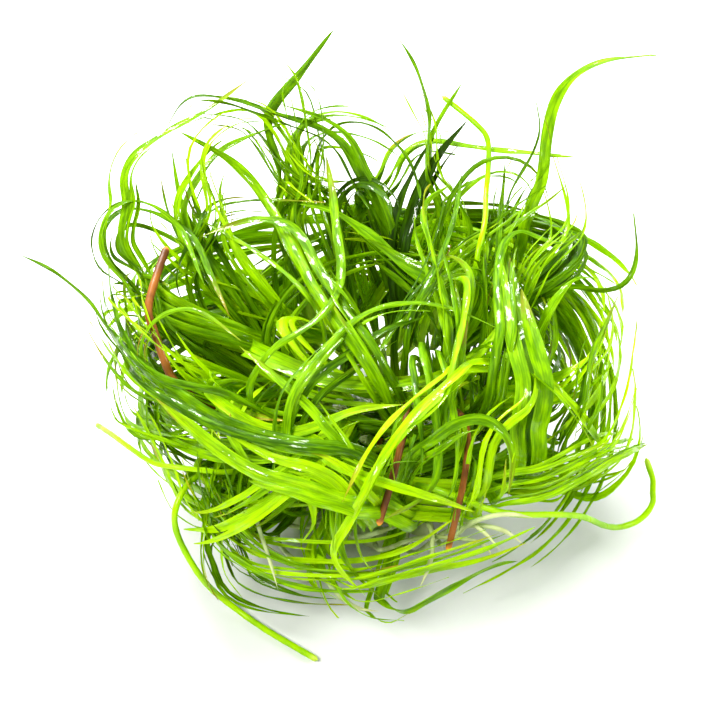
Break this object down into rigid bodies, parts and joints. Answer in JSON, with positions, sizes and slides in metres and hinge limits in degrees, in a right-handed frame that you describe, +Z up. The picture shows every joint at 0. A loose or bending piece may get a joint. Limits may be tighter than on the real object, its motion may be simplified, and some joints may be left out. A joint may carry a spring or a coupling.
{
  "type": "dwarf sagittaria",
  "caption": "Washed tissue-grown clump of strap leaves circling in a round nest over a small flat root mat, for planting or dressing an aquarium",
  "frame": {"origin": "the middle of the nest on the surface it rests on, in the flat underside of the root mat", "axes": "+Z up, -Z out of the flat underside, -Y towards the side that the picture shows"},
  "size_m": [0.1193, 0.1047, 0.0755],
  "materials": {
    "leaf_bright": "gloss",
    "leaf_dark": "gloss",
    "crown_pale": "satin",
    "root_pale": "matte",
    "stalk_brown": "satin",
    "runner_green": "satin"
  },
  "bodies": {
    "root": {"crown_back": "crown_pale", "crown_back_left": "crown_pale", "crown_back_right": "crown_pale", "crown_front": "crown_pale", "crown_front_left": "crown_pale", "crown_front_right": "crown_pale", "crown_left": "crown_pale", "crown_middle": "crown_pale", "crown_right": "crown_pale", "leaf_back_arch": "leaf_bright", "leaf_back_band": "leaf_bright", "leaf_back_hook": "leaf_bright", "leaf_back_left_arc": "leaf_bright", "leaf_back_rim": "leaf_bright", "leaf_bright_arch": "leaf_bright", "leaf_broad_right": "leaf_bright", "leaf_broad_top": "leaf_bright", "leaf_dark_arch": "leaf_bright", "leaf_dark_back": "leaf_dark", "leaf_dark_broad": "leaf_dark", "leaf_dark_curl": "leaf_bright", "leaf_dark_loop": "leaf_bright", "leaf_dark_smile": "leaf_bright", "leaf_dark_vertical": "leaf_bright", "leaf_diagonal": "leaf_bright", "leaf_folded_lit": "leaf_bright", "leaf_folded_top": "leaf_bright", "leaf_front_left": "leaf_bright", "leaf_front_lit": "leaf_bright", "leaf_front_rim_right": "leaf_bright", "leaf_front_shelf": "leaf_bright", "leaf_left_arch": "leaf_bright", "leaf_left_fold": "leaf_bright", "leaf_left_lit_loop": "leaf_bright", "leaf_left_loop": "leaf_bright", "leaf_left_stray": "leaf_bright", "leaf_left_wall": "leaf_bright", "leaf_lit_arch": "leaf_bright", "leaf_long_diagonal": "leaf_bright", "leaf_long_inner": "leaf_bright", "leaf_right_front": "leaf_bright", "leaf_right_hook": "leaf_bright", "leaf_right_rim": "leaf_bright", "leaf_right_stray": "leaf_bright", "leaf_ring_low": "leaf_bright", "leaf_ring_middle": "leaf_bright", "leaf_tall_yellow": "leaf_bright", "leaf_top_hook": "leaf_bright", "leaf_top_spike": "leaf_bright", "leaf_top_stray": "leaf_bright", "leaf_yellow_brown": "leaf_bright", "leaf_yellow_curve": "leaf_bright", "root_mat": "root_pale", "runner_front": "runner_green", "runner_left": "runner_green", "runner_right": "runner_green", "stalk_back": "runner_green", "stalk_left": "stalk_brown", "stub_front": "stalk_brown", "stub_front_right": "stalk_brown"}
  },
  "joints": []
}
